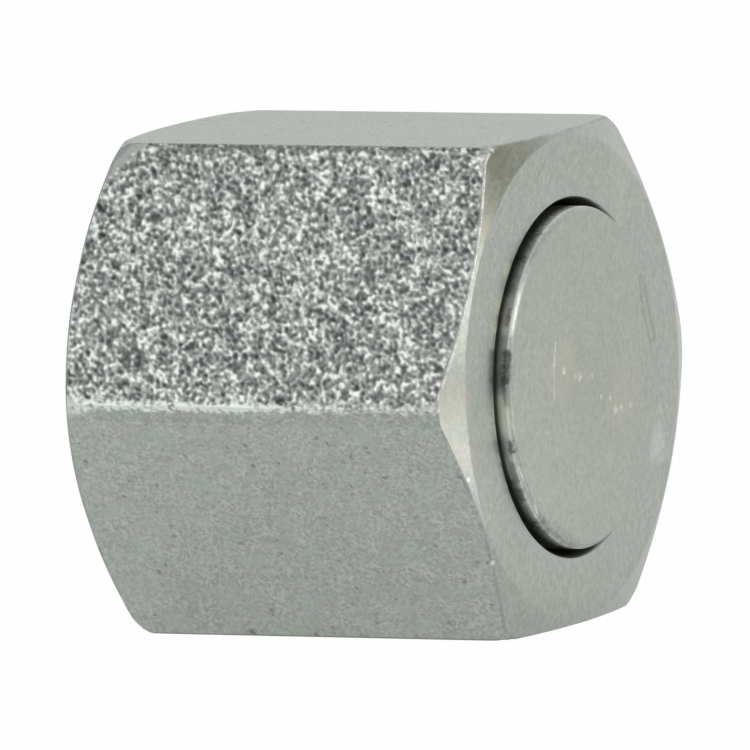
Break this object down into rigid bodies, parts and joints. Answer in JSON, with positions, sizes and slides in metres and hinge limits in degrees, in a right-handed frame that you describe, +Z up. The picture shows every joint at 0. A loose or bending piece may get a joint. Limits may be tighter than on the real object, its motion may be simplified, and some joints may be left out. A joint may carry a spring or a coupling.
{
  "type": "threaded protection cap",
  "caption": "Closed hexagon swivel cap for a flat-face O-ring tube fitting: a zinc-plated steel nut with a loose round sealing plug.",
  "frame": {"origin": "middle of the plug's sealing face, on the thread axis", "axes": "+X along the thread axis towards the closed end, +Z up, square to the flat that the nut lies on"},
  "size_m": [0.022, 0.0276, 0.024],
  "materials": {
    "nut_zinc": "zinc plated, one flat rough",
    "plug_zinc": "zinc plated, turned"
  },
  "bodies": {
    "nut": {"hex_nut": "nut_zinc"},
    "plug": {"sealing_plug": "plug_zinc"}
  },
  "joints": [
    {"name": "nut_swivel", "type": "hinge", "parent": "nut", "child": "plug", "pos_m": [0, 0, 0], "axis": [1, 0, 0], "continuous": true}
  ]
}
